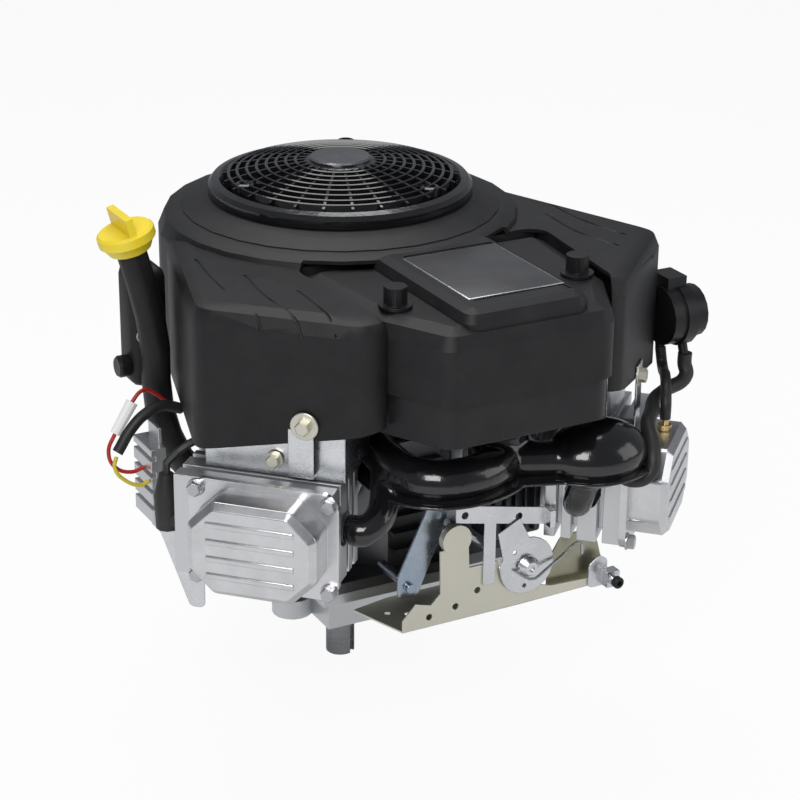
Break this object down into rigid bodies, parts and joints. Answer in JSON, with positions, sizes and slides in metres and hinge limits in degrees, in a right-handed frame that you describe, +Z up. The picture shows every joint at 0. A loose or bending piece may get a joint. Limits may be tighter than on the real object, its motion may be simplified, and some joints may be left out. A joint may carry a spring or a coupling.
{
  "type": "small gasoline engine",
  "caption": "Vertical-shaft V-twin air-cooled engine with a blower housing, turning screen, side-draught cylinders under plain rocker covers, and a downward output shaft.",
  "frame": {"origin": "where the crankshaft axis crosses the bottom face of the shaft boss under the sump, 22 mm below the undersides of the four feet", "axes": "+Z up along the crankshaft towards the turning screen, -Y towards the air cleaner and the speed controls, +X towards the fuel pump"},
  "size_m": [0.4845, 0.452, 0.459],
  "materials": {
    "cast_aluminium": "as-cast aluminium, slightly grainy",
    "dark_casting": "dark cast aluminium",
    "machined_steel": "machined steel, lightly oiled",
    "sheet_steel": "bright pressed steel sheet",
    "yellow_zinc": "pressed steel with a clear to yellow zinc plating",
    "black_plastic": "dark grained moulded plastic",
    "gloss_black": "smooth glossy black",
    "black_rubber": "black rubber",
    "yellow_plastic": "bright yellow moulded plastic",
    "filter_paper": "pleated filter paper",
    "copper_winding": "enamelled copper windings on a laminated core",
    "brass_fitting": "turned brass",
    "red_insulation": "red wire insulation",
    "yellow_insulation": "yellow wire insulation",
    "clear_sleeve": "translucent white connector sleeve"
  },
  "bodies": {
    "engine_block": {"crankcase": "dark_casting", "oil_sump": "cast_aluminium", "oil_seal": "black_rubber", "oil_drain_plug": "machined_steel", "cylinder_1": "cast_aluminium", "cylinder_head_1": "cast_aluminium", "rocker_cover_1": "cast_aluminium", "cylinder_baffle_1": "sheet_steel", "spark_plug_1": "sheet_steel", "spark_lead_1": "black_rubber", "ignition_coil_1": "black_rubber", "cylinder_2": "cast_aluminium", "cylinder_head_2": "cast_aluminium", "rocker_cover_2": "cast_aluminium", "cylinder_baffle_2": "sheet_steel", "spark_plug_2": "sheet_steel", "spark_lead_2": "black_rubber", "ignition_coil_2": "black_rubber", "lower_baffle_1": "sheet_steel", "blower_housing": "black_plastic", "stator": "copper_winding", "air_cleaner_base": "black_plastic", "air_filter": "filter_paper", "intake_manifold": "gloss_black", "throttle_body": "cast_aluminium", "fuel_pump": "gloss_black", "fuel_hose": "black_rubber", "breather_nipple": "brass_fitting", "breather_hose": "black_rubber", "oil_fill_tube": "black_plastic", "oil_filter": "gloss_black", "starter_motor": "gloss_black", "voltage_regulator": "cast_aluminium", "control_bracket": "yellow_zinc", "linkage_bracket": "yellow_zinc", "governor_spring": "sheet_steel", "quadrant_bracket": "yellow_zinc", "cable_clamp": "yellow_zinc", "harness_sleeve": "black_rubber", "red_wire": "red_insulation", "yellow_wire": "yellow_insulation", "wire_connector": "clear_sleeve"},
    "rotor": {"crankshaft": "machined_steel", "flywheel": "cast_aluminium", "cooling_fan": "black_plastic", "rotating_screen": "gloss_black"},
    "camshaft": {"camshaft": "machined_steel"},
    "piston_1": {"piston_1": "machined_steel"},
    "piston_2": {"piston_2": "machined_steel"},
    "rod_1": {"connecting_rod_1": "cast_aluminium"},
    "rod_2": {"connecting_rod_2": "cast_aluminium"},
    "starter_pinion": {"starter_pinion": "machined_steel"},
    "governor_lever": {"governor_lever": "sheet_steel"},
    "throttle_control": {"throttle_control": "yellow_zinc", "control_link": "sheet_steel"},
    "throttle_shaft": {"throttle_shaft": "yellow_zinc"},
    "air_cleaner_cover": {"air_cleaner_cover": "black_plastic"},
    "knob_1": {"cover_knob_1": "black_plastic"},
    "knob_2": {"cover_knob_2": "black_plastic"},
    "oil_cap": {"oil_cap_dipstick": "yellow_plastic"}
  },
  "joints": [
    {"name": "crank_spin", "type": "hinge", "parent": "engine_block", "child": "rotor", "pos_m": [0, 0, 0], "axis": [0, 0, 1], "continuous": true},
    {"name": "cam_spin", "type": "hinge", "parent": "engine_block", "child": "camshaft", "pos_m": [0, -0.072, 0], "axis": [0, 0, 1], "continuous": true},
    {"name": "piston_1_stroke", "type": "slide", "parent": "engine_block", "child": "piston_1", "axis": [-0.7071, -0.7071, 0], "range_m": [-0.0596, 0.0133], "deforming": ["connecting_rod_1"]},
    {"name": "piston_2_stroke", "type": "slide", "parent": "engine_block", "child": "piston_2", "axis": [0.7071, -0.7071, 0], "range_m": [-0.0596, 0.0133], "deforming": ["connecting_rod_2"]},
    {"name": "rod_1_swing", "type": "hinge", "parent": "piston_1", "child": "rod_1", "pos_m": [-0.10473, -0.10473, 0.157], "axis": [0, 0, 1], "range_deg": [-5, 28.9]},
    {"name": "rod_2_swing", "type": "hinge", "parent": "piston_2", "child": "rod_2", "pos_m": [0.10473, -0.10473, 0.141], "axis": [0, 0, 1], "range_deg": [-28.9, 5]},
    {"name": "starter_pinion_throw", "type": "slide", "parent": "engine_block", "child": "starter_pinion", "axis": [0, 0, 1], "range_m": [0, 0.019]},
    {"name": "governor_lever_swing", "type": "hinge", "parent": "engine_block", "child": "governor_lever", "pos_m": [-0.034, -0.189, 0.076], "axis": [0, 1, 0], "range_deg": [-12, 12], "deforming": ["governor_spring"]},
    {"name": "throttle_control_turn", "type": "hinge", "parent": "engine_block", "child": "throttle_control", "pos_m": [0.066, -0.2035, 0.07], "axis": [0, 1, 0], "range_deg": [-8, 18]},
    {"name": "throttle_shaft_turn", "type": "hinge", "parent": "engine_block", "child": "throttle_shaft", "pos_m": [0.03, -0.214, 0.226], "axis": [1, 0, 0], "range_deg": [0, 75]},
    {"name": "cover_lift", "type": "slide", "parent": "engine_block", "child": "air_cleaner_cover", "axis": [0, 0, 1], "range_m": [0, 0.1]},
    {"name": "knob_1_turn", "type": "hinge", "parent": "air_cleaner_cover", "child": "knob_1", "pos_m": [-0.065, -0.219, 0.34], "axis": [0, 0, 1], "continuous": true},
    {"name": "knob_2_turn", "type": "hinge", "parent": "air_cleaner_cover", "child": "knob_2", "pos_m": [0.093, -0.219, 0.34], "axis": [0, 0, 1], "continuous": true},
    {"name": "oil_cap_pull", "type": "slide", "parent": "engine_block", "child": "oil_cap", "axis": [-0.1465, -0.0183, 0.989], "range_m": [0, 0.12]}
  ],
  "couplings": [
    {"joint": "cam_spin", "follows": "crank_spin", "ratio": -0.5}
  ]
}
